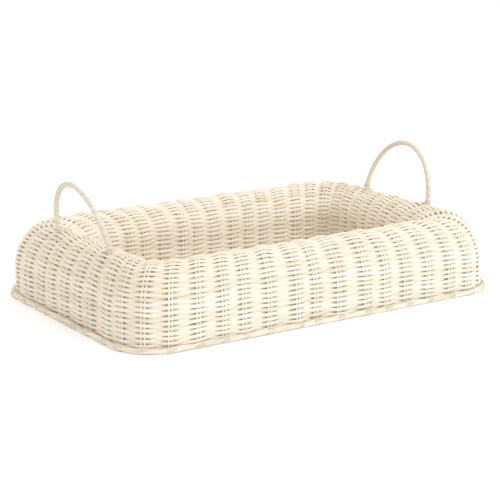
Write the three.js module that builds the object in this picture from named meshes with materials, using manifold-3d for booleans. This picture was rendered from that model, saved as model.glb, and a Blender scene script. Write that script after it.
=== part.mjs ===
// A hand-woven rattan serving tray: a hollow double wall of fine weave that rolls over a rounded crown,
// on a roped foot border, with a wrapped cane hoop at each short end.
// Millimetres, +Z up. The origin is at the middle of the face that the tray stands on; +X runs along
// the long side, so the hoops stand at the -X and +X ends.

import * as THREE from 'three';
import { ParametricGeometry } from 'three/addons/geometries/ParametricGeometry.js';
import * as BufferGeometryUtils from 'three/addons/utils/BufferGeometryUtils.js';
import Module from 'manifold-3d';

// ---- Driving dimensions ----------------------------------------------------------------------------

const LENGTH = 610; // over the outer wall faces, along X
const WIDTH = 400; // over the outer wall faces, along Y
const WALL_HEIGHT = 110; // to the top of the crown
const OUTER_CORNER = 62; // plan corner radius at the outer face
const INNER_CORNER = 30; // plan corner radius at the inner face

const SHOULDER_DROP = 70; // height over which the outer shoulder rolls
const SHOULDER_REACH = 43.5; // its width, from the outer face to the crown line
const INNER_DROP = 45; // height over which the inner side rolls
const WALL_THICKNESS = 87; // from the outer face to the inner face

const SKIN_FRONT = 0.4; // depth of the weave's outer side below the finished face
const SKIN_BACK = 2.6; // and of its inner side
const STAKE_FRONT = 3.4; // depth of the stakes' front
const STAKE_BACK = 6.4; // and of their back
const STAKE_WIDTH = 6.6; // two 3.3 mm canes side by side
const THROUGH_STAKES = 14; // pairs that run from one long side to the other
const END_STAKES = 11; // pairs round each end, corners included
const STAKE_FOOT = 2.4; // height at which the stake ends stop
const THROUGH_BOTTOM = 4.3; // underside of the stakes that run on below the floor
const THROUGH_TOP = 7.3;
const BAND_GAP = 0.4; // between one band of weave and the next
const PART_SHIFT = 1; // from the inner corners' ends to the cuts beside them

const BORDER_FLARE = 6; // how far the foot border stands proud of the outer face
const BORDER_HEIGHT = 8.2;
const BORDER_WIDTH = 8.2;
const BORDER_CHAMFER = 1.9;
const HOOP_RADIUS = 2.5; // the cane hoops inside the wall
const HOOP_CLEARANCE = 0.4;

const FLOOR_TOP = 11; // the serving surface
const FLOOR_THICKNESS = 3;
const FLOOR_GAP = 0.5;

const HANDLE_X = 269; // where a hoop's legs meet its base line
const HANDLE_BASE = WALL_HEIGHT - 8;
const HANDLE_HALF_WIDTH = 74.5;
const HANDLE_RISE = 88;
const HANDLE_LEAN = THREE.MathUtils.degToRad(12); // outwards
const LEG_DEPTH = 45; // of the cane below the base line
const WRAP_DEPTH = 9; // of the wrap below the base line
const CANE_RADIUS = 2.6;
const WRAP_RADIUS = 3.8;
const WRAP_BORE = 2.95;
const LEG_HOLE = 4.4; // radius of the opening in the crown for a leg
const LASHING_RADIUS = 6.8;
const LASHING_BORE = 5.1;
const LASHING_HEIGHT = 5;
const LASHING_BASE = WALL_HEIGHT - 0.3;

const CORNER_STEPS = 6;
const SHOULDER_STEPS = 6;
const CROWN_STEPS_OUT = 3; // roll steps from the crown line to the crown band's outer edge
const CROWN_STEPS_IN = 1; // and to its inner edge

// ---- Materials -------------------------------------------------------------------------------------

const cane = (color, roughness) => new THREE.MeshStandardMaterial({ color, roughness, metalness: 0 });
const weaveCane = cane(0xefe6d2, 0.62);
const stakeCane = cane(0xe4d6ba, 0.6);
const borderCane = cane(0xe6dac2, 0.65);
const hoopCane = cane(0xd9c69f, 0.6);
const handleCane = cane(0xe2d2ae, 0.55);
const handlePeel = cane(0xeae2cd, 0.5);

const group = new THREE.Group();

function addPart(name, geometry, material) {
  const mesh = new THREE.Mesh(geometry, material);
  mesh.name = name;
  group.add(mesh);
}

// ---- The wall's section and plan -------------------------------------------------------------------

// One point of the wall's section: how far it lies in from the outer face, its height, and the
// direction in the section that points out of the hollow.
const sectionPoint = (inset, height, outInset, outHeight) => {
  const size = Math.hypot(outInset, outHeight);
  return { inset, height, outInset: outInset / size, outHeight: outHeight / size };
};

// The finished face of the wall, from the foot of the outer wall to the foot of the inner wall.
function wallSection() {
  const inner = WALL_THICKNESS - SHOULDER_REACH;
  const points = [sectionPoint(0, BORDER_HEIGHT + BAND_GAP, -1, 0)];
  for (let i = 0; i <= SHOULDER_STEPS; i++) {
    const turn = (Math.PI / 2) * (i / SHOULDER_STEPS);
    const c = Math.cos(turn);
    const s = Math.sin(turn);
    points.push(sectionPoint(
      SHOULDER_REACH * (1 - c),
      WALL_HEIGHT - SHOULDER_DROP * (1 - s),
      -c / SHOULDER_REACH,
      s / SHOULDER_DROP,
    ));
  }
  for (let i = 1; i <= SHOULDER_STEPS; i++) {
    const turn = (Math.PI / 2) * (i / SHOULDER_STEPS);
    const c = Math.cos(turn);
    const s = Math.sin(turn);
    points.push(sectionPoint(
      SHOULDER_REACH + inner * s,
      WALL_HEIGHT - INNER_DROP * (1 - c),
      s / inner,
      c / INNER_DROP,
    ));
  }
  points.push(sectionPoint(WALL_THICKNESS, FLOOR_TOP - FLOOR_THICKNESS, 1, 0));
  return points;
}

// The section carried inwards by a depth.
const sunk = (points, depth) => points.map(
  (p) => new THREE.Vector2(p.inset - p.outInset * depth, p.height - p.outHeight * depth),
);

const cornerRadius = (inset) =>
  OUTER_CORNER + ((INNER_CORNER - OUTER_CORNER) * inset) / WALL_THICKNESS;

// The corner points of the plan outline at an inset, counterclockwise from the right end's lower
// straight. Every outline has the same points in the same order, so the wall is ruled between them.
function planLoop(inset) {
  const r = cornerRadius(inset);
  const cx = LENGTH / 2 - inset - r;
  const cy = WIDTH / 2 - inset - r;
  const loop = [];
  for (const [sx, sy, start] of [[1, 1, 0], [-1, 1, 1], [-1, -1, 2], [1, -1, 3]]) {
    for (let i = 0; i <= CORNER_STEPS; i++) {
      const turn = (Math.PI / 2) * (start + i / CORNER_STEPS);
      loop.push(new THREE.Vector2(sx * cx + r * Math.cos(turn), sy * cy + r * Math.sin(turn)));
    }
  }
  return loop;
}

// A closed ring: a closed outline of (inset, height) points carried round the plan.
function ringGeometry(outline) {
  const loops = outline.map((p) => planLoop(p.x));
  const around = loops[0].length;
  const place = (u, v, target) => {
    const j = Math.round(u * outline.length) % outline.length;
    const i = Math.round(v * around) % around;
    target.set(loops[j][i].x, loops[j][i].y, outline[j].y);
  };
  return new ParametricGeometry(place, outline.length, around);
}

// A band of the weave between two points of the section, trimmed a little at both ends.
function bandGeometry(section, first, last) {
  const outline = (depth) => {
    const points = sunk(section.slice(first, last + 1), depth);
    const trim = (end, next) => {
      const back = next.clone().sub(end).setLength(BAND_GAP / 2);
      end.add(back);
    };
    trim(points[0], points[1].clone());
    trim(points.at(-1), points.at(-2).clone());
    return points;
  };
  return ringGeometry([...outline(SKIN_BACK), ...outline(SKIN_FRONT).reverse()]);
}

// ---- Solids for cutting ----------------------------------------------------------------------------

const wasm = await Module();
wasm.setup();

function toSolid(geometry) {
  const bare = geometry.clone();
  bare.deleteAttribute('normal');
  bare.deleteAttribute('uv');
  const merged = BufferGeometryUtils.mergeVertices(bare);
  return new wasm.Manifold(new wasm.Mesh({
    numProp: 3,
    vertProperties: new Float32Array(merged.attributes.position.array),
    triVerts: new Uint32Array(merged.index.array),
  }));
}

function toGeometry(solid) {
  const mesh = solid.getMesh();
  const geometry = new THREE.BufferGeometry();
  geometry.setAttribute('position', new THREE.BufferAttribute(mesh.vertProperties, 3));
  geometry.setIndex(new THREE.BufferAttribute(mesh.triVerts, 1));
  geometry.computeVertexNormals();
  return geometry;
}

// ---- Handle places ---------------------------------------------------------------------------------

const leanAxis = (side) => new THREE.Vector3(side * Math.sin(HANDLE_LEAN), 0, Math.cos(HANDLE_LEAN));

// The line of a hoop: half an ellipse in its leaning plane, with straight legs below.
class HoopLine extends THREE.Curve {
  constructor(side, depth) {
    super();
    this.side = side;
    this.depth = depth;
    this.arc = Math.PI * Math.sqrt((HANDLE_HALF_WIDTH ** 2 + HANDLE_RISE ** 2) / 2);
    this.total = this.arc + 2 * depth;
  }

  getPoint(t, target = new THREE.Vector3()) {
    const run = t * this.total - this.depth;
    const turn = Math.PI * THREE.MathUtils.clamp(run / this.arc, 0, 1);
    const below = Math.min(run, this.arc - run, 0);
    const rise = HANDLE_RISE * Math.sin(turn) + below;
    target.set(this.side * HANDLE_X, HANDLE_HALF_WIDTH * Math.cos(turn), HANDLE_BASE);
    return target.addScaledVector(leanAxis(this.side), rise);
  }
}

// A point on a leg's line at a height, and the rod through it.
function legPoint(side, end, height) {
  const rise = (height - HANDLE_BASE) / Math.cos(HANDLE_LEAN);
  const base = new THREE.Vector3(side * HANDLE_X, end * HANDLE_HALF_WIDTH, HANDLE_BASE);
  return base.addScaledVector(leanAxis(side), rise);
}

function onLeg(geometry, side, end, height) {
  const turn = new THREE.Quaternion().setFromUnitVectors(new THREE.Vector3(0, 1, 0), leanAxis(side));
  const at = legPoint(side, end, height);
  return geometry.applyQuaternion(turn).translate(at.x, at.y, at.z);
}

const ENDS = [[-1, 'left'], [1, 'right']];
const LEGS = [[-1, 'front'], [1, 'back']];

// ---- Weave bands -----------------------------------------------------------------------------------

const section = wallSection();
const crownFirst = 1 + SHOULDER_STEPS - CROWN_STEPS_OUT;
const crownLast = 1 + SHOULDER_STEPS + CROWN_STEPS_IN;

addPart('outer_wall_weave', bandGeometry(section, 0, crownFirst), weaveCane);

let crown = toSolid(bandGeometry(section, crownFirst, crownLast));
for (const [side] of ENDS) {
  for (const [end] of LEGS) {
    const hole = new THREE.CylinderGeometry(LEG_HOLE, LEG_HOLE, 4 * LEG_HOLE, 12);
    crown = crown.subtract(toSolid(onLeg(hole, side, end, WALL_HEIGHT)));
  }
}
addPart('crown_weave', toGeometry(crown), weaveCane);

// The inner band is parted where its corners begin: four sides and four corners.
const inner = toSolid(bandGeometry(section, crownLast, section.length - 1));
const partX = LENGTH / 2 - WALL_THICKNESS - INNER_CORNER - PART_SHIFT;
const partY = WIDTH / 2 - WALL_THICKNESS - INNER_CORNER - PART_SHIFT;

// Where one of the parts begins and ends along an axis, from its place (-1, 0 or 1) on that axis.
function spanOf(place, part, far) {
  const half = BAND_GAP / 2;
  if (place < 0) return [-far, -part - half];
  if (place > 0) return [part + half, far];
  return [-part + half, part - half];
}

for (const [placeX, nameX] of [[-1, 'left'], [0, ''], [1, 'right']]) {
  for (const [placeY, nameY] of [[-1, 'front'], [0, ''], [1, 'back']]) {
    if (!placeX && !placeY) continue;
    const [x0, x1] = spanOf(placeX, partX, LENGTH);
    const [y0, y1] = spanOf(placeY, partY, WIDTH);
    const block = new THREE.BoxGeometry(x1 - x0, y1 - y0, 2 * WALL_HEIGHT);
    block.translate((x0 + x1) / 2, (y0 + y1) / 2, WALL_HEIGHT / 2);
    const name = ['inner_weave', nameX, nameY].filter(Boolean).join('_');
    addPart(name, toGeometry(inner.intersect(toSolid(block))), weaveCane);
  }
}

// ---- Stakes: pairs of cane, over the wall from foot to floor ---------------------------------------

// The strip that a pair fills in the section, down to a height at its inner end.
function stakeShape(innerFoot) {
  const strip = (depth) => {
    const line = sunk(section, depth);
    line[0].y = STAKE_FOOT;
    line.at(-1).y = innerFoot;
    return line;
  };
  return new THREE.Shape([...strip(STAKE_FRONT), ...strip(STAKE_BACK).reverse()]);
}

// The plan point at a distance round the outer face, carried in by an inset, and the run of the face.
function planPoint(distance, inset) {
  const outer = planLoop(0);
  const loop = planLoop(inset);
  let left = distance;
  for (let i = 0; i < outer.length; i++) {
    const next = (i + 1) % outer.length;
    const side = outer[i].distanceTo(outer[next]);
    if (left <= side || i === outer.length - 1) {
      return {
        at: loop[i].clone().lerp(loop[next], left / side),
        along: outer[next].clone().sub(outer[i]).normalize(),
      };
    }
    left -= side;
  }
}

const faceLoop = planLoop(0);
const faceLength = faceLoop.reduce(
  (sum, p, i) => sum + p.distanceTo(faceLoop[(i + 1) % faceLoop.length]), 0,
);
// The loop starts at the upper end of the right side's straight, half that straight past its middle.
const rightMiddle = faceLength - (WIDTH / 2 - OUTER_CORNER);
const stakePitch = faceLength / (2 * (THROUGH_STAKES + END_STAKES));

// One pair over the wall at a distance round the outer face.
function wallStake(distance, innerFoot) {
  const outer = planPoint(distance, 0);
  const inner = planPoint(distance, WALL_THICKNESS);
  const inwards = inner.at.clone().sub(outer.at).divideScalar(WALL_THICKNESS);
  const strip = new THREE.ExtrudeGeometry(stakeShape(innerFoot), {
    depth: STAKE_WIDTH, steps: 1, bevelEnabled: false,
  });
  strip.translate(0, 0, -STAKE_WIDTH / 2);
  return strip.applyMatrix4(new THREE.Matrix4().makeBasis(
    new THREE.Vector3(inwards.x, inwards.y, 0),
    new THREE.Vector3(0, 0, 1),
    new THREE.Vector3(outer.along.x, outer.along.y, 0),
  ).setPosition(outer.at.x, outer.at.y, 0));
}

// Pairs on the long sides run on below the floor and up the other side; the rest end at the floor.
const backMiddle = (rightMiddle + faceLength / 4) % faceLength;
const throughReach = WIDTH / 2 - WALL_THICKNESS + STAKE_BACK;
for (let i = 0; i < THROUGH_STAKES; i++) {
  const offset = stakePitch * (i + 0.5 - THROUGH_STAKES / 2);
  const back = wallStake(backMiddle - offset, THROUGH_BOTTOM);
  const x = planPoint(backMiddle - offset, WALL_THICKNESS).at.x;
  const under = new THREE.BoxGeometry(STAKE_WIDTH, 2 * throughReach, THROUGH_TOP - THROUGH_BOTTOM);
  under.translate(x, 0, (THROUGH_TOP + THROUGH_BOTTOM) / 2);
  const mirrored = toSolid(back).mirror([0, 1, 0]);
  const whole = toSolid(back).add(toSolid(under)).add(mirrored);
  addPart(`through_stake_${String(i + 1).padStart(2, '0')}`, toGeometry(whole), stakeCane);
}
for (const [sideName, middle] of [['right', rightMiddle], ['left', rightMiddle - faceLength / 2]]) {
  for (let i = 0; i < END_STAKES; i++) {
    const distance = middle + stakePitch * (i + 0.5 - END_STAKES / 2);
    const strip = wallStake((distance + faceLength) % faceLength, STAKE_FOOT);
    addPart(`end_stake_${sideName}_${String(i + 1).padStart(2, '0')}`, strip, stakeCane);
  }
}

// ---- Foot border and the hoops inside the wall -----------------------------------------------------

const borderOut = -BORDER_FLARE;
const borderIn = borderOut + BORDER_WIDTH;
addPart('foot_border', ringGeometry([
  new THREE.Vector2(borderIn - BORDER_CHAMFER, 0),
  new THREE.Vector2(borderIn, BORDER_CHAMFER),
  new THREE.Vector2(borderIn, BORDER_HEIGHT - BORDER_CHAMFER),
  new THREE.Vector2(borderIn - BORDER_CHAMFER, BORDER_HEIGHT),
  new THREE.Vector2(borderOut + BORDER_CHAMFER, BORDER_HEIGHT),
  new THREE.Vector2(borderOut, BORDER_HEIGHT - BORDER_CHAMFER),
  new THREE.Vector2(borderOut, BORDER_CHAMFER),
  new THREE.Vector2(borderOut + BORDER_CHAMFER, 0),
]), borderCane);

// A round cane ring at an inset and height.
function hoopGeometry(inset, height) {
  const sides = 6;
  const outline = [];
  for (let i = 0; i < sides; i++) {
    const turn = (2 * Math.PI * (i + 0.5)) / sides;
    outline.push(new THREE.Vector2(
      inset + HOOP_RADIUS * Math.cos(turn),
      height + HOOP_RADIUS * Math.sin(turn),
    ));
  }
  return ringGeometry(outline);
}

const hoopDepth = STAKE_BACK + HOOP_CLEARANCE + HOOP_RADIUS;
addPart('foot_hoop', hoopGeometry(hoopDepth, STAKE_FOOT + HOOP_RADIUS), hoopCane);
addPart('floor_hoop', hoopGeometry(WALL_THICKNESS - hoopDepth, STAKE_FOOT + HOOP_RADIUS), hoopCane);

// ---- Floor -----------------------------------------------------------------------------------------

const floorShape = new THREE.Shape(planLoop(WALL_THICKNESS + FLOOR_GAP));
const floorGeometry = new THREE.ExtrudeGeometry(floorShape, {
  depth: FLOOR_THICKNESS, steps: 1, bevelEnabled: false,
});
floorGeometry.translate(0, 0, FLOOR_TOP - FLOOR_THICKNESS);
addPart('floor_weave', floorGeometry, weaveCane);

// ---- Handles ---------------------------------------------------------------------------------------

const ROUND_SIDES = 8;
const HOOP_STEPS = 30;

const circlePath = (PathType, radius) => {
  const points = [];
  for (let i = 0; i < ROUND_SIDES; i++) {
    const turn = (2 * Math.PI * i) / ROUND_SIDES;
    points.push(new THREE.Vector2(radius * Math.cos(turn), radius * Math.sin(turn)));
  }
  return new PathType(points);
};

for (const [side, name] of ENDS) {
  const core = new THREE.ExtrudeGeometry(circlePath(THREE.Shape, CANE_RADIUS), {
    steps: HOOP_STEPS + 6, extrudePath: new HoopLine(side, LEG_DEPTH), bevelEnabled: false,
  });
  addPart(`handle_cane_${name}`, core, handleCane);

  const sleeve = circlePath(THREE.Shape, WRAP_RADIUS);
  sleeve.holes.push(circlePath(THREE.Path, WRAP_BORE));
  const wrap = new THREE.ExtrudeGeometry(sleeve, {
    steps: HOOP_STEPS, extrudePath: new HoopLine(side, WRAP_DEPTH), bevelEnabled: false,
  });
  addPart(`handle_wrap_${name}`, wrap, handlePeel);

  for (const [end, place] of LEGS) {
    const half = LASHING_HEIGHT / 2;
    const collar = new THREE.LatheGeometry([
      new THREE.Vector2(LASHING_BORE, -half),
      new THREE.Vector2(LASHING_RADIUS, -half),
      new THREE.Vector2(LASHING_RADIUS, 0),
      new THREE.Vector2(LASHING_BORE + 0.6, half),
      new THREE.Vector2(LASHING_BORE, half),
      new THREE.Vector2(LASHING_BORE, -half),
    ], 12);
    const middle = LASHING_BASE + half + LASHING_RADIUS * Math.sin(HANDLE_LEAN);
    addPart(`leg_lashing_${name}_${place}`, onLeg(collar, side, end, middle), handlePeel);
  }
}

export default group;
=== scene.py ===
# A hand-woven rattan serving tray. Its walls, border, floor and handles are laid up cane by cane over
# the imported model, in metres, +Z up, with the tray standing on z = 0 and its long side along X.

import math

import bpy
import numpy as np
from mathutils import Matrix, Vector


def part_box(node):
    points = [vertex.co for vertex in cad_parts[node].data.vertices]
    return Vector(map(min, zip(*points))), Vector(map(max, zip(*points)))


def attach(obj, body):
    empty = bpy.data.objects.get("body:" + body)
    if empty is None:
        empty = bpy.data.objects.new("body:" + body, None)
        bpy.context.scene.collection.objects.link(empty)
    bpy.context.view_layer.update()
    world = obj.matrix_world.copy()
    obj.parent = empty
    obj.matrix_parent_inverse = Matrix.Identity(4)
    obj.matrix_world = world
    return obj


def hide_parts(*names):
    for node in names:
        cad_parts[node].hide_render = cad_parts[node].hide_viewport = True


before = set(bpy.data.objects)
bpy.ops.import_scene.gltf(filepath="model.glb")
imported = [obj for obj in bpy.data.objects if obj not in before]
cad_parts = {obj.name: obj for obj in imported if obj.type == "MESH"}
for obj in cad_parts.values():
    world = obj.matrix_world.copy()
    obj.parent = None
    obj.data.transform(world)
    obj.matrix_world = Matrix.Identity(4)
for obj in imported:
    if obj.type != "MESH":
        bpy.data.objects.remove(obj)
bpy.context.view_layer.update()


# ---- Table, light and camera -----------------------------------------------------------------------
# A white table top that runs out of sight, in a white room that lights the tray from all round, a
# little less from the left, with one broad lamp in front on the right and a weak one above.

TABLE_HALF = 40.0

table_mesh = bpy.data.meshes.new("table_top")
table_mesh.from_pydata(
    [(-TABLE_HALF, -TABLE_HALF, 0), (TABLE_HALF, -TABLE_HALF, 0),
     (TABLE_HALF, TABLE_HALF, 0), (-TABLE_HALF, TABLE_HALF, 0)],
    [], [(0, 1, 2, 3)],
)
table = bpy.data.objects.new("table_top", table_mesh)
bpy.context.scene.collection.objects.link(table)

table_paint = bpy.data.materials.new("table_white")
table_paint.use_nodes = True
table_shader = table_paint.node_tree.nodes["Principled BSDF"]
table_shader.inputs["Base Color"].default_value = (0.93, 0.96, 1.0, 1)
table_shader.inputs["Emission Color"].default_value = (0.95, 0.97, 1.0, 1)
table_shader.inputs["Emission Strength"].default_value = 0.14
table_shader.inputs["Roughness"].default_value = 0.8
table_shader.inputs["Specular IOR Level"].default_value = 0.1
table_mesh.materials.append(table_paint)

room = bpy.data.worlds.new("white_room")
room.use_nodes = True
room_nodes, room_links = room.node_tree.nodes, room.node_tree.links
room_shader = room_nodes["Background"]
room_shader.inputs["Color"].default_value = (1.0, 0.935, 0.865, 1)
room_way = room_nodes.new("ShaderNodeTexCoord")
room_axes = room_nodes.new("ShaderNodeSeparateXYZ")
room_light = room_nodes.new("ShaderNodeMapRange")
room_light.inputs["From Min"].default_value = -1
room_light.inputs["To Min"].default_value = 0.86
room_light.inputs["To Max"].default_value = 1.08
room_links.new(room_way.outputs["Generated"], room_axes.inputs[0])
room_links.new(room_axes.outputs["X"], room_light.inputs["Value"])
room_links.new(room_light.outputs["Result"], room_shader.inputs["Strength"])
bpy.context.scene.world = room
bpy.context.scene.view_settings.view_transform = "Standard"


def soft_lamp(name, place, aim, size, power, colour=(1, 1, 1)):
    """A square soft lamp at a place, turned so that its face looks at aim."""
    lamp = bpy.data.lights.new(name, "AREA")
    lamp.size = size
    lamp.energy = power
    lamp.color = colour
    holder = bpy.data.objects.new(name, lamp)
    holder.location = place
    away = np.array(place) - np.array(aim)
    flat = math.hypot(away[0], away[1])
    holder.rotation_euler = (math.atan2(flat, away[2]), 0, math.atan2(away[0], -away[1]))
    bpy.context.scene.collection.objects.link(holder)


soft_lamp("front_lamp", (1.2, -2.2, 1.6), (0, 0, 0.05), 1.4, 26.5, (0.83, 0.90, 1.0))
soft_lamp("top_lamp", (0.2, 0.3, 2.4), (0, 0, 0), 1.8, 7)

CAMERA_AZIMUTH = math.radians(-33.6)
CAMERA_HEIGHT = math.radians(14.12)
CAMERA_DISTANCE = 2.313
AIM_HEIGHT = 0.055  # of the point that the camera looks at
camera_data = bpy.data.cameras.new("camera")
camera_data.sensor_width = 36
camera_data.lens = 114.4
camera_data.shift_y = 0.0055
camera = bpy.data.objects.new("camera", camera_data)
camera.location = (
    CAMERA_DISTANCE * math.sin(CAMERA_AZIMUTH) * math.cos(CAMERA_HEIGHT),
    -CAMERA_DISTANCE * math.cos(CAMERA_AZIMUTH) * math.cos(CAMERA_HEIGHT),
    AIM_HEIGHT + CAMERA_DISTANCE * math.sin(CAMERA_HEIGHT),
)
camera.rotation_euler = (math.pi / 2 - CAMERA_HEIGHT, 0, CAMERA_AZIMUTH)
bpy.context.scene.collection.objects.link(camera)
bpy.context.scene.camera = camera


# ---- The form that the wall is woven over ----------------------------------------------------------
# The wall is one hollow skin: an upright outer side, a broad rolled crown and an upright inner side.
# A cane's place on it is its run round the tray and its climb up the outside and down the inside.

SKIN_DEPTH = 0.0004  # from the finished face to the skin of the model
HALF_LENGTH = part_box("outer_wall_weave")[1].x + SKIN_DEPTH
HALF_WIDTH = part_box("outer_wall_weave")[1].y + SKIN_DEPTH
WALL_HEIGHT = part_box("crown_weave")[1].z + SKIN_DEPTH
BORDER_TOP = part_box("foot_border")[1].z
FLOOR_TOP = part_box("floor_weave")[1].z
OUTER_CORNER = 0.062
INNER_CORNER = 0.030
SHOULDER_DROP = 0.070  # from the crown line to the top of the upright outer side
SHOULDER_REACH = 0.0435  # from the outer side in to the crown line
INNER_DROP = 0.045  # from the crown line to the top of the upright inner side
WALL_THICKNESS = 0.087
QUARTER_STEPS = 90  # along each quarter of an ellipse in the section


def form_table():
    """Climb, inset and height along the section: a straight side, a quarter of one ellipse up to the
    crown line, a quarter of another down from it, and a straight inner side."""
    turn = np.linspace(0, np.pi / 2, QUARTER_STEPS + 1)
    inner = WALL_THICKNESS - SHOULDER_REACH
    inset = np.concatenate([
        [0], SHOULDER_REACH * (1 - np.cos(turn)), SHOULDER_REACH + inner * np.sin(turn[1:]),
        [WALL_THICKNESS],
    ])
    height = np.concatenate([
        [0], WALL_HEIGHT - SHOULDER_DROP * (1 - np.sin(turn)),
        WALL_HEIGHT - INNER_DROP * (1 - np.cos(turn[1:])), [0],
    ])
    step = np.hypot(np.diff(inset), np.diff(height))
    return np.concatenate([[0], np.cumsum(step)]), inset, height


FORM_CLIMB, FORM_INSET, FORM_HEIGHT = form_table()
FORM_LENGTH = FORM_CLIMB[-1]
CORNER_RUN = OUTER_CORNER * np.pi / 2
SIDE_RUNS = [2 * (HALF_LENGTH - OUTER_CORNER), 2 * (HALF_WIDTH - OUTER_CORNER)] * 2
CORNER_SHRINK = (INNER_CORNER - OUTER_CORNER) / WALL_THICKNESS  # change of radius, a metre in
RUN_ENDS = np.cumsum([r for side in SIDE_RUNS for r in (CORNER_RUN, side)])
FULL_RUN = RUN_ENDS[-1]


def plan(run, inset):
    """Plan point at a run round the outer face, carried in by an inset, with the way along the run and
    the way in. The outline goes corner, long side, corner, short side and round again, from the back
    end of the right side; a corner's radius shrinks evenly with the inset, so every line in is
    straight."""
    run = np.mod(run, FULL_RUN)
    part = np.searchsorted(RUN_ENDS, run, side="right").clip(0, 7)
    starts = np.concatenate([[0], RUN_ENDS])
    share = (run - starts[part]) / (RUN_ENDS - starts[:-1])[part]
    corner, straight = part // 2, part % 2
    turn = (corner + np.where(straight == 1, 1, share)) * np.pi / 2
    across = np.where(straight == 1, share, 0)
    sign_x = np.array([1, -1, -1, 1, 1])
    sign_y = np.array([1, 1, -1, -1, 1])
    corner_x = sign_x[corner] * (1 - across) + sign_x[corner + 1] * across
    corner_y = sign_y[corner] * (1 - across) + sign_y[corner + 1] * across
    radius = OUTER_CORNER + CORNER_SHRINK * inset
    x = corner_x * (HALF_LENGTH - inset - radius) + radius * np.cos(turn)
    y = corner_y * (HALF_WIDTH - inset - radius) + radius * np.sin(turn)
    along = np.stack([-np.sin(turn), np.cos(turn), np.zeros_like(turn)], -1)
    inwards = np.stack([
        -corner_x * (1 + CORNER_SHRINK) + CORNER_SHRINK * np.cos(turn),
        -corner_y * (1 + CORNER_SHRINK) + CORNER_SHRINK * np.sin(turn),
        np.zeros_like(turn),
    ], -1)
    return x, y, along, inwards


def unit(vectors):
    """The vectors at length one."""
    return vectors / np.linalg.norm(vectors, axis=-1, keepdims=True)


SWELL_SLANT = 90  # most slant of a wave, in radians a metre of climb


def swell(run, climb, waves, seed):
    """A smooth uneven field over the wall: the sum of a few sine waves, each a whole number of waves
    round the tray, with a random slant and start."""
    rng = np.random.default_rng(seed)
    total = np.zeros(np.broadcast(run, climb).shape)
    for count in waves:
        slant, start = rng.uniform(-SWELL_SLANT, SWELL_SLANT), rng.uniform(0, 2 * np.pi)
        total = total + np.sin(2 * np.pi * count * run / FULL_RUN + slant * climb + start)
    return total / math.sqrt(len(waves))


LUMP = 0.0007  # how far the wall's face wanders in and out
LUMP_WAVES = (9, 14, 23, 31)  # round the tray
SLOPE_STEP = 0.001  # to each side, to find the section's slope


def on_wall(run, climb, depth):
    """Point of the wall at a run, a climb and a depth below the finished face, with the way out of the
    wall, the way up the climb and the way along the run."""
    run, climb, depth = np.broadcast_arrays(run, climb, depth)
    inset = np.interp(climb, FORM_CLIMB, FORM_INSET)
    height = np.interp(climb, FORM_CLIMB, FORM_HEIGHT)
    lower, upper = climb - SLOPE_STEP, climb + SLOPE_STEP
    rise_in = np.interp(upper, FORM_CLIMB, FORM_INSET) - np.interp(lower, FORM_CLIMB, FORM_INSET)
    rise_up = np.interp(upper, FORM_CLIMB, FORM_HEIGHT) - np.interp(lower, FORM_CLIMB, FORM_HEIGHT)
    x, y, along, inwards = plan(run, inset)
    up = inwards * rise_in[..., None]
    up[..., 2] += rise_up
    up = unit(up)
    out = unit(np.cross(along, up))
    lump = LUMP * swell(run, climb, LUMP_WAVES, 5)
    place = np.stack([x, y, height], -1) + out * (lump - depth)[..., None]
    return place, out, up, along


# ---- Cane, the stuff of the whole tray -------------------------------------------------------------
# Peeled rattan core, bleached to a pale cream. It is straight-grained, with fine dark fibre lines
# along it, and its colour drifts along each length and from one length to the next.

STRIP_FILL = 0.9  # share of a cane's strip of the UV map that its skin takes
SKIN_SPAN = 0.985  # share of the map's width for the skins, with the flat ends beyond it
END_SPOTS = (0.989, 0.996)  # where the two flat ends of a cane are on the map
END_SIZE = 0.2  # radius of an end there, in strips
MOST_END_SIZE = END_SIZE / 60  # and its most, in the map's own width, where the strips are broad
LAID_AHEAD = 0.37  # how far each cane starts ahead of the last, laid out straight
LAID_ASIDE = 0.05  # and how far beside it


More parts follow.
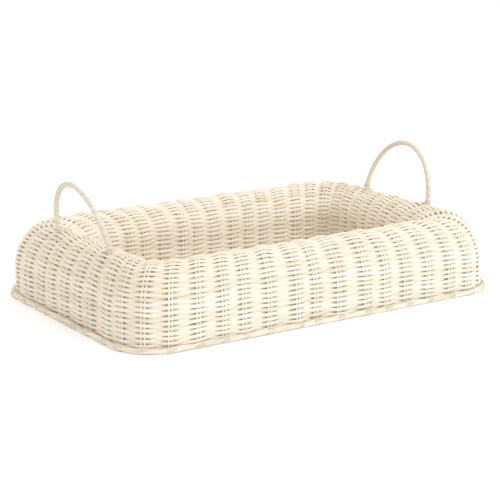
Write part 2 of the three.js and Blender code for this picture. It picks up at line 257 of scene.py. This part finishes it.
def lay_canes(name, centre, out, side, thick, wide, closed, tones, sides=8):
    """One mesh of many canes. centre, out and side are arrays of canes x stations x 3. A point of a
    cane's skin is centre + thick cos(a) out + wide sin(a) side. A closed cane runs into its own start
    and an open one has flat ends. The UV map gives each cane a strip of its own. The mesh keeps each
    cane's tone, and the skin's place on it when the canes are laid out straight, side by side."""
    canes, stations = centre.shape[:2]
    out, side = np.broadcast_to(out, centre.shape), np.broadcast_to(side, centre.shape)
    thick, wide = np.broadcast_to(thick, (canes, stations)), np.broadcast_to(wide, (canes, stations))
    turn = 2 * np.pi * (np.arange(sides) + 0.5) / sides
    cos, sin = np.cos(turn), np.sin(turn)
    skin = centre[:, :, None] + (thick[..., None] * cos)[..., None] * out[:, :, None] \
        + (wide[..., None] * sin)[..., None] * side[:, :, None]
    index = np.arange(canes * stations * sides).reshape(canes, stations, sides)
    after = np.roll(index, -1, 1)
    ring_next = np.roll(index, -1, 2)
    both_next = np.roll(after, -1, 2)
    quads = np.stack([index, after, both_next, ring_next], -1)
    if not closed:
        quads = quads[:, :-1]
    ahead = np.diff(centre, axis=1)
    against = (np.cross(out, side)[:, :-1] * ahead).sum() < 0
    if against:
        quads = quads[..., ::-1]
    quads = quads.reshape(-1, 4)
    sizes = np.full(len(quads), 4)
    corners = quads.ravel()
    spans = stations if closed else stations - 1
    u_start = np.broadcast_to((np.arange(spans) / spans)[None, :, None], (canes, spans, sides))
    v_step = STRIP_FILL / sides / canes
    v_start = (np.arange(canes)[:, None, None] + (1 - STRIP_FILL) / 2) / canes + v_step * np.arange(sides)
    v_start = np.broadcast_to(v_start, (canes, spans, sides))
    u_step = 1 / spans
    uv = np.stack([
        np.stack([u_start, v_start], -1), np.stack([u_start + u_step, v_start], -1),
        np.stack([u_start + u_step, v_start + v_step], -1), np.stack([u_start, v_start + v_step], -1),
    ], -2)
    if against:
        uv = uv[..., ::-1, :]
    uv = uv.reshape(-1, 2) * (SKIN_SPAN, 1)
    if not closed:
        ends = np.concatenate([index[:, 0], index[:, -1, ::-1]])
        if not against:
            ends = ends[:, ::-1]
        corners = np.concatenate([corners, ends.ravel()])
        sizes = np.concatenate([sizes, np.full(len(ends), sides)])
        spot = np.stack([cos, sin], -1) * min(END_SIZE / canes, MOST_END_SIZE)
        middle = np.stack([
            np.repeat(END_SPOTS, canes), (np.tile(np.arange(canes), 2) + 0.5) / canes,
        ], -1)
        uv = np.concatenate([uv, (middle[:, None] + spot).reshape(-1, 2)])
    mesh = bpy.data.meshes.new(name)
    mesh.vertices.add(skin.size // 3)
    mesh.vertices.foreach_set("co", skin.astype(np.float32).ravel())
    mesh.loops.add(len(corners))
    mesh.loops.foreach_set("vertex_index", corners.astype(np.int32))
    mesh.polygons.add(len(sizes))
    mesh.polygons.foreach_set(
        "loop_start", np.concatenate([[0], np.cumsum(sizes)[:-1]]).astype(np.int32))
    mesh.polygons.foreach_set("use_smooth", sizes == 4)
    mesh.uv_layers.new(name="OFBake").data.foreach_set("uv", uv.astype(np.float32).ravel())
    travel = np.concatenate([
        np.zeros((canes, 1)), np.cumsum(np.linalg.norm(ahead, axis=-1), 1),
    ], 1)
    straight = np.stack(np.broadcast_arrays(
        travel[..., None] + LAID_AHEAD * np.arange(canes)[:, None, None],
        thick[..., None] * cos + LAID_ASIDE * np.arange(canes)[:, None, None],
        wide[..., None] * sin,
    ), -1)
    mesh.attributes.new("laid_straight", "FLOAT_VECTOR", "POINT").data.foreach_set(
        "vector", straight.astype(np.float32).ravel())
    tone = np.broadcast_to(np.asarray(tones)[:, None, None], (canes, stations, sides))
    mesh.attributes.new("cane_tone", "FLOAT", "POINT").data.foreach_set(
        "value", tone.astype(np.float32).ravel())
    mesh.update()
    mesh.validate()
    piece = bpy.data.objects.new(name, mesh)
    bpy.context.scene.collection.objects.link(piece)
    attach(piece, "root")
    return piece


FIBRE_STRETCH = (70, 1900, 1900)  # noise cells a metre, along the cane and across it
DRIFT_STRETCH = (7, 60, 60)
ROUGH_SPREAD = 0.12


def cane_grain_group():
    """Fibre lines drawn out along the cane, slow drifts of colour along it, and its own tone, mixed
    into one colour share from 0, pale, to 1, tan, with the fibres' height."""
    group = bpy.data.node_groups.new("cane_grain", "ShaderNodeTree")
    for name, kind, value in (
        ("Fibre", "NodeSocketFloat", 0.35), ("Drift", "NodeSocketFloat", 0.35),
        ("Tone", "NodeSocketFloat", 0.5), ("Shift", "NodeSocketFloat", 0.0),
    ):
        group.interface.new_socket(name, in_out="INPUT", socket_type=kind).default_value = value
    group.interface.new_socket("Share", in_out="OUTPUT", socket_type="NodeSocketFloat")
    group.interface.new_socket("Height", in_out="OUTPUT", socket_type="NodeSocketFloat")
    nodes, links = group.nodes, group.links
    given, result = nodes.new("NodeGroupInput"), nodes.new("NodeGroupOutput")
    straight = nodes.new("ShaderNodeAttribute")
    straight.attribute_name = "laid_straight"
    tone = nodes.new("ShaderNodeAttribute")
    tone.attribute_name = "cane_tone"

    def noise(stretch, detail):
        scale = nodes.new("ShaderNodeVectorMath")
        scale.operation = "MULTIPLY"
        scale.inputs[1].default_value = stretch
        links.new(straight.outputs["Vector"], scale.inputs[0])
        field = nodes.new("ShaderNodeTexNoise")
        field.inputs["Scale"].default_value = 1
        field.inputs["Detail"].default_value = detail
        links.new(scale.outputs[0], field.inputs["Vector"])
        return field.outputs["Fac"]

    def math_node(operation, a, b):
        node = nodes.new("ShaderNodeMath")
        node.operation = operation
        for socket, value in zip(node.inputs, (a, b)):
            if isinstance(value, (int, float)):
                socket.default_value = value
            else:
                links.new(value, socket)
        return node.outputs[0]

    fibres = noise(FIBRE_STRETCH, 3)
    drift = noise(DRIFT_STRETCH, 2)
    share = given.outputs["Shift"]
    for field, amount in (
        (fibres, "Fibre"), (drift, "Drift"), (tone.outputs["Fac"], "Tone"),
    ):
        off_middle = math_node("SUBTRACT", field, 0.5)
        share = math_node("ADD", share, math_node("MULTIPLY", off_middle, given.outputs[amount]))
    share = math_node("ADD", share, 0.5)
    links.new(share, result.inputs["Share"])
    links.new(fibres, result.inputs["Height"])
    return group


CANE_GRAIN = cane_grain_group()


def cane_material(name, pale, middle, tan, fibre=0.9, drift=1.1, tone=0.5, rough=0.6, shift=0.0):
    """Cane in three colours, from pale to tan, mixed by the grain, with a faint sheen and fine lengthwise
    ridges."""
    material = bpy.data.materials.new(name)
    material.use_nodes = True
    nodes, links = material.node_tree.nodes, material.node_tree.links
    shader = nodes["Principled BSDF"]
    grain = nodes.new("ShaderNodeGroup")
    grain.node_tree = CANE_GRAIN
    for socket, value in (("Fibre", fibre), ("Drift", drift), ("Tone", tone), ("Shift", shift)):
        grain.inputs[socket].default_value = value
    ramp = nodes.new("ShaderNodeValToRGB")
    ramp.color_ramp.elements[0].position = 0.1
    ramp.color_ramp.elements[0].color = (*pale, 1)
    ramp.color_ramp.elements[1].position = 0.95
    ramp.color_ramp.elements[1].color = (*tan, 1)
    ramp.color_ramp.elements.new(0.55).color = (*middle, 1)
    links.new(grain.outputs["Share"], ramp.inputs["Fac"])
    links.new(ramp.outputs["Color"], shader.inputs["Base Color"])
    roughness = nodes.new("ShaderNodeMapRange")
    roughness.inputs["To Min"].default_value = rough - ROUGH_SPREAD
    roughness.inputs["To Max"].default_value = rough + ROUGH_SPREAD
    links.new(grain.outputs["Height"], roughness.inputs["Value"])
    links.new(roughness.outputs["Result"], shader.inputs["Roughness"])
    bump = nodes.new("ShaderNodeBump")
    bump.inputs["Strength"].default_value = 0.25
    bump.inputs["Distance"].default_value = 0.0002
    links.new(grain.outputs["Height"], bump.inputs["Height"])
    links.new(bump.outputs["Normal"], shader.inputs["Normal"])
    shader.inputs["Specular IOR Level"].default_value = 0.35
    return material


# ---- Stakes ----------------------------------------------------------------------------------------
# Fifty pairs of round cane, the ribs of the wall, each from the foot border over the crown and
# down inside. A weaver spaces them by eye. On the long sides they run on below the floor and up again.

STAKE_COUNT = 50
THROUGH_COUNT = 14  # pairs from one long side to the other
END_COUNT = 11  # pairs round each end
STAKE_PITCH = FULL_RUN / STAKE_COUNT
STAKE_SPREAD = 0.005  # at most, from even spacing
STAKE_RADIUS = 0.0014
STAKE_APART = 0.0023  # of each cane of a pair from their middle
STAKE_DEPTH = 0.0033  # of the stakes' centres below the finished face
WEAVE_DEPTH = 0.0045  # and of the middle of the weavers' swing
STAKE_FOOT = 0.0026  # climb of their cut ends
UNDER_HEIGHT = 0.00695  # of their centres where they cross below the floor
UNDER_BEND = 0.006  # radius of the bend from the wall to the floor
END_STATIONS = 72  # along a stake at the ends
WALL_STATIONS = 66  # and on each wall, bend and floor part of a through one
BEND_STATIONS = 6
UNDER_STATIONS = 20

# The stakes' cane is coloured paler than the weavers' as painted light: it lifts the stakes out of the
# shade where they show between the rows in front of them.
stake_cane = cane_material(
    "stake_cane", (0.95, 0.925, 0.86), (0.91, 0.865, 0.77), (0.74, 0.64, 0.48), tone=0.3, shift=-0.1)

stake_rng = np.random.default_rng(11)
through_spread = stake_rng.uniform(-STAKE_SPREAD, STAKE_SPREAD, THROUGH_COUNT)
end_spread = stake_rng.uniform(-STAKE_SPREAD, STAKE_SPREAD, (2, END_COUNT))
RIGHT_MIDDLE = FULL_RUN - (HALF_WIDTH - OUTER_CORNER)
STAKE_RUNS = RIGHT_MIDDLE + STAKE_PITCH * (np.arange(STAKE_COUNT) - (END_COUNT - 1) / 2) \
    + np.concatenate([end_spread[0], -through_spread[::-1], end_spread[1], through_spread])
RIGHT_STAKES = STAKE_RUNS[:END_COUNT]
BACK_STAKES = STAKE_RUNS[END_COUNT:END_COUNT + THROUGH_COUNT]
LEFT_STAKES = STAKE_RUNS[END_COUNT + THROUGH_COUNT:STAKE_COUNT - THROUGH_COUNT]
FRONT_STAKES = STAKE_RUNS[STAKE_COUNT - THROUGH_COUNT:]


def lay_pairs(name, centre, out, side, seed, nodes):
    """Two canes side by side along each centre line, standing for the nodes."""
    apart = np.tile([-STAKE_APART, STAKE_APART], len(centre))[:, None, None]
    centre, out, side = (np.repeat(part, 2, 0) for part in (centre, out, side))
    tones = np.random.default_rng(seed).uniform(0, 1, len(centre))
    pairs = lay_canes(
        name, centre + apart * side, out, side, STAKE_RADIUS, STAKE_RADIUS, False, tones)
    pairs.data.materials.append(stake_cane)
    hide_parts(*nodes)


def bend_under(foot, way):
    """The quarter turn from the foot of a stake on the inner wall to below the floor. Way is 1 at the
    front wall and -1 at the back one."""
    turn = np.linspace(0, np.pi / 2, BEND_STATIONS + 1)[1:]
    out = np.stack([np.zeros(BEND_STATIONS), way * np.cos(turn), np.sin(turn)], -1)
    centre = foot + (0, way * UNDER_BEND, 0)
    return centre[:, None] - UNDER_BEND * out, np.broadcast_to(out, (len(foot), *out.shape))


end_climbs = np.linspace(STAKE_FOOT, FORM_LENGTH - STAKE_FOOT, END_STATIONS)
for side_name, runs, seed in (("right", RIGHT_STAKES, 20), ("left", LEFT_STAKES, 21)):
    place, out, _, along = on_wall(runs[:, None], end_climbs, STAKE_DEPTH)
    lay_pairs(f"stakes_{side_name}_end", place, out, along, seed,
              [f"end_stake_{side_name}_{i + 1:02d}" for i in range(END_COUNT)])

wall_climbs = np.linspace(STAKE_FOOT, FORM_LENGTH - UNDER_HEIGHT - UNDER_BEND, WALL_STATIONS)
front_place, front_out, _, _ = on_wall(FRONT_STAKES[:, None], wall_climbs, STAKE_DEPTH)
back_place, back_out, _, _ = on_wall(BACK_STAKES[::-1, None], wall_climbs[::-1], STAKE_DEPTH)
front_bend, front_bend_out = bend_under(front_place[:, -1], 1)
back_bend, back_bend_out = bend_under(back_place[:, 0], -1)
across = np.linspace(0, 1, UNDER_STATIONS + 2)[1:-1, None]
under = front_bend[:, -1:] * (1 - across) + back_bend[:, -1:] * across
through_place = np.concatenate(
    [front_place, front_bend, under, back_bend[:, ::-1], back_place], 1)
through_out = np.concatenate(
    [front_out, front_bend_out, np.broadcast_to((0.0, 0, 1), under.shape),
     back_bend_out[:, ::-1], back_out], 1)
through_side = np.broadcast_to((1.0, 0, 0), through_place.shape)
lay_pairs("stakes_through", through_place, through_out, through_side, 22,
          [f"through_stake_{i + 1:02d}" for i in range(THROUGH_COUNT)])
UNDER_STAKES = under[:, 0, 0]  # where they cross below the floor, along X


# ---- Handle line -----------------------------------------------------------------------------------
# Each handle is one cane bent into a hoop that leans outwards. Its two legs go down through the crown
# into the hollow wall, so it stands up by itself and doesn't swing.

HANDLE_X = 0.269
HANDLE_BASE = 0.102
HANDLE_HALF_WIDTH = 0.0745
HANDLE_RISE = 0.088
HANDLE_LEAN = math.radians(12)
HANDLE_ARC = math.pi * math.sqrt((HANDLE_HALF_WIDTH ** 2 + HANDLE_RISE ** 2) / 2)
SIDES = ((-1, "left"), (1, "right"))


def handle_line(side, travel):
    """Point of a hoop at a travel along it from its back base, with its tangent and the way out of its
    plane: half an ellipse, and straight legs below it."""
    turn = np.pi * np.clip(travel / HANDLE_ARC, 0, 1)
    below = np.minimum(0, np.minimum(travel, HANDLE_ARC - travel))
    rise = HANDLE_RISE * np.sin(turn) + below
    lean = np.array([side * math.sin(HANDLE_LEAN), 0, math.cos(HANDLE_LEAN)])
    place = np.stack([
        np.full_like(rise, side * HANDLE_X), HANDLE_HALF_WIDTH * np.cos(turn),
        np.full_like(rise, HANDLE_BASE),
    ], -1) + rise[..., None] * lean
    bend = np.where(below < 0, 0, 1)
    tangent = unit(
        np.stack([0 * turn, -HANDLE_HALF_WIDTH * np.sin(turn) * bend, 0 * turn], -1)
        + np.where(below < 0, np.where(turn > 1, -1, 1), HANDLE_RISE * np.cos(turn))[..., None]
        * lean)
    plane = np.cross(lean, (0, 1.0, 0))
    return place, tangent, np.broadcast_to(plane, place.shape)


# ---- Weavers ---------------------------------------------------------------------------------------
# Seventy-odd rows of thin cane, woven over one pair of stakes and under the next and beaten down
# until they touch. They are damp and springy, so they wander a little, and they gape beside stakes.

ROW_PITCH = 0.0034
FIRST_TUCK = 0.7  # of a row's pitch, behind the top of the border
LAST_TUCK = 0.6  # and below the floor's top
WEAVER_THICK = 0.0012  # half of it, as for every cane's thickness and width
WEAVER_WIDE = 0.0019
WEAVER_SPREAD = 0.0003  # how much wider it lies beside a stake, where it bends most
FACE_SPREAD = 0.00045  # and in front of it or behind it
FOOT_SPREAD = 0.00016  # and in the tight rows at the foot
FOOT_TIGHT = 0.04  # climb where those end
TIGHT_DRIFT = 0.4  # how far the tightness wanders over the wall
TIGHT_WAVES = (5, 9, 17)
INNER_SPREAD = 0.00024  # and down the inner side
INNER_START = 0.02  # climb over which that comes in
WEAVE_SWING = 0.00248  # of a weaver's centre, out and in
BUMP_POWER = 1.8  # a weaver keeps near the middle, and steps out or in close to a stake
STEPS_TO_STAKE = np.array([0, 0.05, 0.1, 0.16, 0.24, 0.36, 0.5, 0.64, 0.76, 0.84, 0.9, 0.95])
ROW_WANDER = 0.0009  # of a row, up and down in long waves
ROW_WAVES = (7, 13, 22)  # round the tray
ROW_SHIFT = 0.0002  # of a weaver at one stake, up or down
ROW_SLACK = 0.12  # how unevenly deep it swings
SLACK_LIMITS = (0.75, 1.15)
PARTING = 0.0012  # how far the rows give way beside a handle's leg
PARTING_REACH = 0.0045
PARTING_EDGE = 0.0008  # climb in which they go from one side of the leg to the other
LEG_HEAP = 0.0036  # how far they pile up round it
LEG_HEAP_REACH = 0.014
LEG_ENTRY = 0.007  # along a hoop, from its base to where it comes out of the crown

weaver_cane = cane_material(
    "weaver_cane", (0.93, 0.89, 0.805), (0.855, 0.79, 0.665), (0.69, 0.57, 0.40),
    fibre=0.75, drift=0.85, tone=0.3)

OUTER_EDGE = FORM_CLIMB[1 + QUARTER_STEPS // 2]  # between the outer wall's rows and the crown's
INNER_EDGE = FORM_CLIMB[1 + QUARTER_STEPS * 7 // 6]  # between the crown's rows and the inner wall's
first_row = BORDER_TOP - ROW_PITCH * FIRST_TUCK
last_row = FORM_LENGTH - FLOOR_TOP + ROW_PITCH * LAST_TUCK
row_count = round((last_row - first_row) / ROW_PITCH) + 1
row_climbs = np.linspace(first_row, last_row, row_count)
row_rng = np.random.default_rng(31)
row_tones = row_rng.uniform(0, 1, row_count)
row_shifts = row_rng.normal(0, ROW_SHIFT, (row_count, STAKE_COUNT))
row_slacks = row_rng.normal(1, ROW_SLACK, (row_count, STAKE_COUNT))

leg_at, _, _ = handle_line(1, np.array([LEG_ENTRY]))
leg_inset = HALF_LENGTH - leg_at[0, 0]
to_crown_line = slice(QUARTER_STEPS + 2)
LEG_CLIMB = np.interp(leg_inset, FORM_INSET[to_crown_line], FORM_CLIMB[to_crown_line])
leg_radius = OUTER_CORNER + CORNER_SHRINK * leg_inset
leg_run = leg_at[0, 1] * (HALF_WIDTH - OUTER_CORNER) / (HALF_WIDTH - leg_inset - leg_radius)
LEG_RUNS = [RIGHT_MIDDLE + half * FULL_RUN / 2 + end * leg_run for half in (0, 1) for end in (-1, 1)]


def eased(knots, phase):
    """Values along a row, eased from each stake's own value to the next one's."""
    before = np.floor(phase).astype(int) % STAKE_COUNT
    blend = (1 - np.cos(np.pi * (phase % 1))) / 2
    return knots[:, before] * (1 - blend) + knots[:, (before + 1) % STAKE_COUNT] * blend


def weave_bump(phase):
    """Swing of a weaver: 1 in front of every second stake, -1 behind the others."""
    wave = np.cos(np.pi * phase)
    return np.sign(wave) * np.abs(wave) ** BUMP_POWER


def weaver_rows(name, nodes, rows):
    """Rows of weavers as closed rings. Each row swings against the next, its swing and its height are
    uneven from stake to stake, and it gives way and piles up beside the legs of the handles."""
    phase = (np.arange(STAKE_COUNT)[:, None] + STEPS_TO_STAKE).ravel()
    edges = np.append(STAKE_RUNS, STAKE_RUNS[0] + FULL_RUN)
    run = np.interp(phase, np.arange(STAKE_COUNT + 1), edges)[None]
    level = row_climbs[rows][:, None]
    climb = level + ROW_WANDER * swell(run, level, ROW_WAVES, 8) + eased(row_shifts[rows], phase)
    heap = 0
    for leg in LEG_RUNS:
        off_run = (run - leg + FULL_RUN / 2) % FULL_RUN - FULL_RUN / 2
        off_climb = climb - LEG_CLIMB
        nearness = np.exp(-(off_run / PARTING_REACH) ** 2) / (1 + (off_climb / PARTING_REACH) ** 2)
        climb = climb + PARTING * nearness * np.tanh(off_climb / PARTING_EDGE)
        heap = heap + LEG_HEAP * np.exp(-(off_run ** 2 + off_climb ** 2) / LEG_HEAP_REACH ** 2)
    over = np.where(np.array(rows) % 2 == 0, 1, -1)[:, None]
    bump = weave_bump(phase)
    swing = WEAVE_SWING * over * bump * eased(row_slacks[rows], phase).clip(*SLACK_LIMITS)
    tight = np.clip(1 - climb / FOOT_TIGHT, 0, 1) + TIGHT_DRIFT * swell(run, climb, TIGHT_WAVES, 9)
    beside = 4 * np.abs(bump) * (1 - np.abs(bump))
    inner = np.clip((climb - INNER_EDGE) / INNER_START, 0, 1)
    wide = WEAVER_WIDE + WEAVER_SPREAD * beside + FACE_SPREAD * np.abs(bump) \
        + FOOT_SPREAD * tight + INNER_SPREAD * inner
    place, out, up, _ = on_wall(run, climb, WEAVE_DEPTH - swing - heap)
    piece = lay_canes(name, place, out, up, WEAVER_THICK, wide, True, row_tones[rows])
    piece.data.materials.append(weaver_cane)
    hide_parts(*nodes)


INNER_NODES = ["inner_weave_" + place for place in (
    "front", "back", "left", "right", "left_front", "left_back", "right_front", "right_back")]
inner_half = (INNER_EDGE + row_climbs[-1]) / 2
for piece_name, nodes, low, high in (
    ("weavers_outer_wall", ["outer_wall_weave"], 0, OUTER_EDGE / 2),
    ("weavers_shoulder", ["outer_wall_weave"], OUTER_EDGE / 2, OUTER_EDGE),
    ("weavers_crown", ["crown_weave"], OUTER_EDGE, INNER_EDGE),
    ("weavers_inner_slope", INNER_NODES, INNER_EDGE, inner_half),
    ("weavers_inner_wall", INNER_NODES, inner_half, FORM_LENGTH),
):
    weaver_rows(piece_name, nodes, np.flatnonzero((row_climbs >= low) & (row_climbs < high)))


# ---- Foot border -----------------------------------------------------------------------------------
# A thick rim that the tray stands on: three canes laid up as a slow rope round the foot of the wall,
# and bound down at each pair of stakes with a few turns of flat peel.

ROPE_OUT = 0.0019  # its middle from the finished face
ROPE_HEIGHT = 0.00435
ROPE_SWING = 0.0018
PLY_RADIUS = 0.0020
PLY_TONES = (0.3, 0.8, 0.5)
ROPE_LAYS = 15  # whole turns of a ply round the tray
ROPE_STATIONS = 640
BIND_RADIUS = 0.0040
BIND_THICK = 0.0005
BIND_WIDE = 0.0007
BIND_PITCH = 0.0026
BIND_TURNS = (4, 5)  # fewest and most at a pair of stakes
BIND_SLANT = 0.0006  # of a turn, forward and back along the rope
BIND_SHIFT = 0.0001  # how unevenly the turns lie
BIND_TONES = (0, 0.5)
BIND_STATIONS = 12

border_cane = cane_material(
    "border_cane", (0.92, 0.88, 0.80), (0.84, 0.775, 0.655), (0.66, 0.54, 0.38), drift=1.0)


def round_rope(run, turn, radius):
    """Point at an angle and radius round the rope's middle line, with the way out from that line and
    the way along it."""
    run, turn = np.broadcast_arrays(run, turn)
    x, y, along, _ = plan(run, -ROPE_OUT)
    outwards = np.cross(along, (0, 0, 1.0))
    out = np.cos(turn)[..., None] * outwards + np.sin(turn)[..., None] * np.array((0, 0, 1.0))
    place = np.stack([x, y, np.full_like(x, ROPE_HEIGHT)], -1) + radius * out
    return place, out, along


rope_run = np.arange(ROPE_STATIONS) / ROPE_STATIONS * FULL_RUN
ply_start = np.arange(len(PLY_TONES))[:, None] / len(PLY_TONES)
ply_turn = 2 * np.pi * (ROPE_LAYS * rope_run / FULL_RUN + ply_start)
place, out, along = round_rope(rope_run, ply_turn, ROPE_SWING)
rope = lay_canes(
    "foot_border_rope", place, out, np.cross(along, out), PLY_RADIUS, PLY_RADIUS, True,
    PLY_TONES, sides=10)
rope.data.materials.append(border_cane)
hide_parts("foot_border")

bind_rng = np.random.default_rng(41)
bind_counts = bind_rng.integers(*BIND_TURNS, STAKE_COUNT, endpoint=True)
bind_runs = np.concatenate([
    stake + BIND_PITCH * (np.arange(turns) - (turns - 1) / 2)
    for stake, turns in zip(STAKE_RUNS, bind_counts)])
bind_runs = bind_runs + bind_rng.normal(0, BIND_SHIFT, len(bind_runs))
bind_turn = 2 * np.pi * np.arange(BIND_STATIONS) / BIND_STATIONS
place, out, along = round_rope(
    bind_runs[:, None] + BIND_SLANT * np.sin(bind_turn), bind_turn, BIND_RADIUS)
binding = lay_canes(
    "foot_border_binding", place, out, along, BIND_THICK, BIND_WIDE, True,
    bind_rng.uniform(*BIND_TONES, len(bind_runs)), sides=4)
binding.data.materials.append(border_cane)
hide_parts("foot_border")


# ---- Floor -----------------------------------------------------------------------------------------
# Rows of the same weaver laid along the tray, over and under the stakes that cross below it, out to
# the foot of the inner wall.

FLOOR_INSET = WALL_THICKNESS - 0.005  # of the rows' ends, which are tucked under the wall's last row
FLOOR_TUCK = 0.0035  # of the first and last rows, under it too
FLOOR_BOW = 0.0004  # of a row, to and fro
FLOOR_BOW_WAVES = 31  # radians a metre along the row
FLOOR_BOW_SLANT = 3  # radians from the middle row to the first and last
FLOOR_STATIONS = 158

floor_reach = HALF_WIDTH - WALL_THICKNESS + FLOOR_TUCK
floor_count = round(2 * floor_reach / ROW_PITCH) + 1
floor_y = np.linspace(-floor_reach, floor_reach, floor_count)[:, None]
floor_corner = OUTER_CORNER + CORNER_SHRINK * FLOOR_INSET
past_corner = np.maximum(0, np.abs(floor_y) - (HALF_WIDTH - FLOOR_INSET - floor_corner))
row_reach = HALF_LENGTH - FLOOR_INSET - floor_corner \
    + np.sqrt(np.maximum(0, floor_corner ** 2 - past_corner ** 2))
floor_x = row_reach * np.linspace(-1, 1, FLOOR_STATIONS)
end_gap = UNDER_STAKES[-1] - UNDER_STAKES[-2]
floor_knots = np.concatenate([
    [UNDER_STAKES[0] - end_gap], UNDER_STAKES, [UNDER_STAKES[-1] + end_gap]])
floor_phase = np.interp(floor_x, floor_knots, np.arange(THROUGH_COUNT + 2))
floor_over = np.where(np.arange(floor_count) % 2 == 0, 1, -1)[:, None]
floor_rng = np.random.default_rng(51)
floor_z = UNDER_HEIGHT + WEAVE_SWING * floor_over * weave_bump(floor_phase)
floor_bow = FLOOR_BOW * np.sin(
    FLOOR_BOW_WAVES * floor_x + FLOOR_BOW_SLANT * floor_y / floor_reach)
place = np.stack([floor_x, floor_y + floor_bow, floor_z], -1)
floor = lay_canes(
    "floor_weavers", place, (0, 0, 1.0), (0, 1.0, 0), WEAVER_THICK, WEAVER_WIDE, False,
    floor_rng.uniform(0, 1, floor_count))
floor.data.materials.append(weaver_cane)
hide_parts("floor_weave")


# ---- Handles ---------------------------------------------------------------------------------------
# The bent cane of each handle is wound from end to end with one strip of flat peel, each turn's edge
# on the last one's, and bound with four turns of thin cane where its legs go into the crown.

PEEL_RADIUS = 0.0033  # of the strip's middle from the cane's
PEEL_THICK = 0.00042
PEEL_WIDE = 0.0057
PEEL_PITCH = 0.0108
PEEL_DEPTH = 0.009  # of its ends below the hoop's base line
PEEL_STATIONS_PER_TURN = 20
LEG_BIND_RADIUS = 0.0043
LEG_BIND_THICK = 0.0007
LEG_BIND_PITCH = 0.00135
LEG_BIND_FOOT = 0.0066  # of its first turn above the base line
LEG_BIND_TURNS = 4
LEG_BIND_STATIONS_PER_TURN = 16

peel = cane_material(
    "handle_peel", (0.84, 0.80, 0.72), (0.75, 0.70, 0.61), (0.62, 0.54, 0.42), fibre=0.7, drift=0.9,
    rough=0.5)


def round_handle(side, travel, turn, radius):
    """Point at an angle and radius round a hoop's middle line, with the way out from that line and the
    way along it."""
    place, tangent, plane = handle_line(side, travel)
    across = np.cross(tangent, plane)
    out = np.cos(turn)[..., None] * across + np.sin(turn)[..., None] * plane
    return place + radius * out, out, tangent


for side, side_name in SIDES:
    length = HANDLE_ARC + 2 * PEEL_DEPTH
    count = round(length / PEEL_PITCH * PEEL_STATIONS_PER_TURN)
    travel = np.linspace(-PEEL_DEPTH, HANDLE_ARC + PEEL_DEPTH, count)[None]
    turn = 2 * np.pi * np.arange(count)[None] / PEEL_STATIONS_PER_TURN
    place, out, _ = round_handle(side, travel, turn, PEEL_RADIUS)
    path = np.gradient(place, axis=1)
    strip = lay_canes(
        f"handle_wrap_{side_name}_peel", place, out, unit(np.cross(path, out)),
        PEEL_THICK, PEEL_WIDE, False, [0.5])
    strip.data.materials.append(peel)
    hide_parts(f"handle_wrap_{side_name}")

    count = LEG_BIND_TURNS * LEG_BIND_STATIONS_PER_TURN + 1
    turn = 2 * np.pi * np.arange(count) / LEG_BIND_STATIONS_PER_TURN
    climb = LEG_BIND_FOOT + LEG_BIND_PITCH * turn / (2 * np.pi)
    for place_name, travel in (("back", climb), ("front", HANDLE_ARC - climb)):
        place, out, tangent = round_handle(side, travel[None], turn[None], LEG_BIND_RADIUS)
        lashing = lay_canes(
            f"leg_binding_{side_name}_{place_name}", place, out, tangent,
            LEG_BIND_THICK, LEG_BIND_THICK, False, [0.6], sides=6)
        lashing.data.materials.append(peel)
        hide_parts(f"leg_lashing_{side_name}_{place_name}")


# ---- Plain cane of the model's own solids ----------------------------------------------------------
# The bent canes of the handles and the two hoops inside the wall are plain round cane, a shade darker
# than the weave, as core that was never in the light.

PATCH_STRETCH = (40, 90, 320)  # noise cells a metre, along X, Y and Z


def plain_cane(name, colour, deep):
    """Unwoven cane in two colours, in soft patches that are longest along X."""
    material = bpy.data.materials.new(name)
    material.use_nodes = True
    nodes, links = material.node_tree.nodes, material.node_tree.links
    place = nodes.new("ShaderNodeTexCoord")
    stretch = nodes.new("ShaderNodeVectorMath")
    stretch.operation = "MULTIPLY"
    stretch.inputs[1].default_value = PATCH_STRETCH
    patches = nodes.new("ShaderNodeTexNoise")
    patches.inputs["Scale"].default_value = 1
    patches.inputs["Detail"].default_value = 4
    ramp = nodes.new("ShaderNodeValToRGB")
    ramp.color_ramp.elements[0].position = 0.3
    ramp.color_ramp.elements[0].color = (*colour, 1)
    ramp.color_ramp.elements[1].position = 0.75
    ramp.color_ramp.elements[1].color = (*deep, 1)
    links.new(place.outputs["Object"], stretch.inputs[0])
    links.new(stretch.outputs[0], patches.inputs["Vector"])
    links.new(patches.outputs["Fac"], ramp.inputs["Fac"])
    shader = nodes["Principled BSDF"]
    links.new(ramp.outputs["Color"], shader.inputs["Base Color"])
    shader.inputs["Roughness"].default_value = 0.6
    return material


hoop_cane = plain_cane("hoop_cane", (0.78, 0.67, 0.47), (0.60, 0.47, 0.29))
bent_cane = plain_cane("handle_cane", (0.82, 0.72, 0.54), (0.66, 0.54, 0.36))
for node_name, finish in (
    ("foot_hoop", hoop_cane), ("floor_hoop", hoop_cane),
    ("handle_cane_left", bent_cane), ("handle_cane_right", bent_cane),
):
    node_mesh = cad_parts[node_name].data
    node_mesh.materials.clear()
    node_mesh.materials.append(finish)
